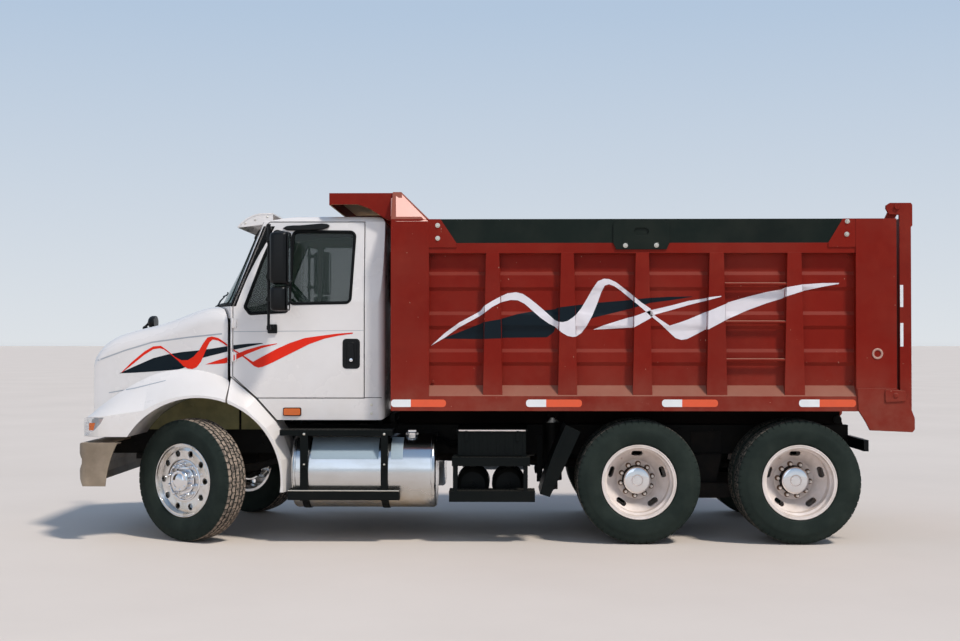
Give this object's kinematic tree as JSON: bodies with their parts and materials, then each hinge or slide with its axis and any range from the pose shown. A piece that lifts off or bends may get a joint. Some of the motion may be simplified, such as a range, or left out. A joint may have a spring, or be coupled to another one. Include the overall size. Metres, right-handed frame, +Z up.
{
  "type": "dump truck",
  "caption": "Conventional-cab dump truck with tandem rear axles, a ribbed tipping bed under a telescopic hoist, opening doors, tilting hood and steered front wheels.",
  "frame": {"origin": "on the ground, under the middle of the whole truck", "axes": "+X towards the tail, -Y to the driver's (left) side, +Z up"},
  "size_m": [7.33, 2.88, 3.11],
  "materials": {
    "cab_white": "glossy white paint",
    "bed_red": "dull dusty red paint",
    "board_green": "near-black green paint",
    "chassis_black": "dusty black paint",
    "step_black": "satin black paint",
    "bumper_grey": "dusty grey-brown paint",
    "tank_alloy": "polished",
    "rim_alloy": "polished",
    "rim_white": "cream white paint with chrome hub covers",
    "tyre": "dusty black rubber",
    "iron": "dusty raw casting",
    "steel": "machined and plated steel",
    "glass": "slightly green window glass",
    "lamp_glass": "clear lens",
    "grille_black": "matte black",
    "cabin_plastic": "matte dark grey",
    "seat_fabric": "dark woven cloth",
    "seat_frame": "matte black",
    "lamp_red": "glossy red lamps in a black housing",
    "radiator": "finned core"
  },
  "bodies": {
    "chassis": {"ladder_frame": "chassis_black", "cross_members": "chassis_black", "front_axle": "chassis_black", "leaf_springs": "iron", "rear_axles": "iron", "rear_suspension": "iron", "engine_block": "iron", "driveline": "iron", "radiator": "radiator", "bumper": "bumper_grey", "fuel_tanks": "tank_alloy", "tank_steps": "step_black", "battery_box": "step_black", "air_tanks": "step_black", "muffler": "steel", "quarter_fenders": "step_black", "rear_light_bars": "lamp_red", "cab_shell": "cab_white", "cab_windows": "glass", "dashboard": "cabin_plastic", "seat_bases": "seat_frame", "seat_cushions": "seat_fabric", "sun_visor": "cab_white", "cab_fenders": "cab_white"},
    "hood": {"hood": "cab_white", "headlights": "lamp_glass", "grille": "grille_black"},
    "door_left": {"door_left": "cab_white", "door_glass_left": "glass", "mirror_left": "grille_black"},
    "door_right": {"door_right": "cab_white", "door_glass_right": "glass", "mirror_right": "grille_black"},
    "knuckle_left": {"knuckle_left": "iron"},
    "knuckle_right": {"knuckle_right": "iron"},
    "tie_rod": {"tie_rod": "iron"},
    "steering_wheel": {"steering_wheel": "cabin_plastic"},
    "wheel_front_left": {"front_tyre_left": "tyre", "front_rim_left": "rim_alloy"},
    "wheel_front_right": {"front_tyre_right": "tyre", "front_rim_right": "rim_alloy"},
    "duals_front_left": {"front_dual_tyres_left": "tyre", "front_dual_rims_left": "rim_white"},
    "duals_front_right": {"front_dual_tyres_right": "tyre", "front_dual_rims_right": "rim_white"},
    "duals_rear_left": {"rear_dual_tyres_left": "tyre", "rear_dual_rims_left": "rim_white"},
    "duals_rear_right": {"rear_dual_tyres_right": "tyre", "rear_dual_rims_right": "rim_white"},
    "bed": {"bed_floor": "bed_red", "bed_sides": "bed_red", "bed_headboard": "bed_red", "side_boards": "board_green"},
    "tailgate": {"tailgate": "bed_red"},
    "hoist_barrels": {"hoist_barrels": "chassis_black"},
    "hoist_stage_1": {"hoist_stage_1": "steel"},
    "hoist_stage_2": {"hoist_stage_2": "steel"},
    "hoist_stage_3": {"hoist_stage_3": "steel"},
    "hoist_stage_4": {"hoist_stage_4": "steel"}
  },
  "joints": [
    {"name": "bed_tilt", "type": "hinge", "parent": "chassis", "child": "bed", "pos_m": [3.2, 0, 1.05], "axis": [0, 1, 0], "range_deg": [0, 45]},
    {"name": "tailgate_swing", "type": "hinge", "parent": "bed", "child": "tailgate", "pos_m": [3.53, 0, 2.955], "axis": [0, -1, 0], "range_deg": [0, 60]},
    {"name": "hoist_lean", "type": "hinge", "parent": "chassis", "child": "hoist_barrels", "pos_m": [0.55, 0, 0.45], "axis": [0, 1, 0], "range_deg": [0, 20]},
    {"name": "hoist_slide_1", "type": "slide", "parent": "hoist_barrels", "child": "hoist_stage_1", "axis": [0, 0, 1], "range_m": [0, 0.5]},
    {"name": "hoist_slide_2", "type": "slide", "parent": "hoist_stage_1", "child": "hoist_stage_2", "axis": [0, 0, 1], "range_m": [0, 0.5]},
    {"name": "hoist_slide_3", "type": "slide", "parent": "hoist_stage_2", "child": "hoist_stage_3", "axis": [0, 0, 1], "range_m": [0, 0.5]},
    {"name": "hoist_slide_4", "type": "slide", "parent": "hoist_stage_3", "child": "hoist_stage_4", "axis": [0, 0, 1], "range_m": [0, 0.5]},
    {"name": "hood_tilt", "type": "hinge", "parent": "chassis", "child": "hood", "pos_m": [-3.62, 0, 0.925], "axis": [0, -1, 0], "range_deg": [0, 65]},
    {"name": "door_swing_left", "type": "hinge", "parent": "chassis", "child": "door_left", "pos_m": [-2.325, -1.045, 1.8], "axis": [0, 0, -1], "range_deg": [0, 65]},
    {"name": "door_swing_right", "type": "hinge", "parent": "chassis", "child": "door_right", "pos_m": [-2.325, 1.045, 1.8], "axis": [0, 0, 1], "range_deg": [0, 65]},
    {"name": "steer_left", "type": "hinge", "parent": "chassis", "child": "knuckle_left", "pos_m": [-2.6, -0.84, 0.545], "axis": [0, 0, 1], "range_deg": [-5, 65]},
    {"name": "steer_right", "type": "hinge", "parent": "chassis", "child": "knuckle_right", "pos_m": [-2.6, 0.84, 0.545], "axis": [0, 0, 1], "range_deg": [-5, 65]},
    {"name": "tie_rod_turn", "type": "hinge", "parent": "knuckle_left", "child": "tie_rod", "pos_m": [-2.42679, -0.94, 0.425], "axis": [0, 0, 1], "range_deg": [-65, 5]},
    {"name": "steering_wheel_turn", "type": "hinge", "parent": "chassis", "child": "steering_wheel", "pos_m": [-1.8, -0.5, 2.2], "axis": [0.7659, 0, 0.6429], "range_deg": [-95, 1175]},
    {"name": "roll_front_left", "type": "hinge", "parent": "knuckle_left", "child": "wheel_front_left", "pos_m": [-2.695, -1.00454, 0.545], "axis": [0.5, 0.866, 0], "continuous": true},
    {"name": "roll_front_right", "type": "hinge", "parent": "knuckle_right", "child": "wheel_front_right", "pos_m": [-2.505, 1.00454, 0.545], "axis": [0.5, 0.866, 0], "continuous": true},
    {"name": "roll_duals_front_left", "type": "hinge", "parent": "chassis", "child": "duals_front_left", "pos_m": [1.283, -0.92, 0.545], "axis": [0, 1, 0], "continuous": true},
    {"name": "roll_duals_front_right", "type": "hinge", "parent": "chassis", "child": "duals_front_right", "pos_m": [1.283, 0.92, 0.545], "axis": [0, 1, 0], "continuous": true},
    {"name": "roll_duals_rear_left", "type": "hinge", "parent": "chassis", "child": "duals_rear_left", "pos_m": [2.683, -0.92, 0.545], "axis": [0, 1, 0], "continuous": true},
    {"name": "roll_duals_rear_right", "type": "hinge", "parent": "chassis", "child": "duals_rear_right", "pos_m": [2.683, 0.92, 0.545], "axis": [0, 1, 0], "continuous": true}
  ],
  "couplings": [
    {"joint": "hoist_lean", "follows": "bed_tilt", "ratio": 0.3984},
    {"joint": "hoist_slide_1", "follows": "bed_tilt", "m_per_rad": 0.6328},
    {"joint": "hoist_slide_2", "follows": "bed_tilt", "m_per_rad": 0.6328},
    {"joint": "hoist_slide_3", "follows": "bed_tilt", "m_per_rad": 0.6328},
    {"joint": "hoist_slide_4", "follows": "bed_tilt", "m_per_rad": 0.6328},
    {"joint": "steer_right", "follows": "steer_left", "ratio": 1},
    {"joint": "tie_rod_turn", "follows": "steer_left", "ratio": -1},
    {"joint": "steering_wheel_turn", "follows": "steer_left", "ratio": 18}
  ]
}
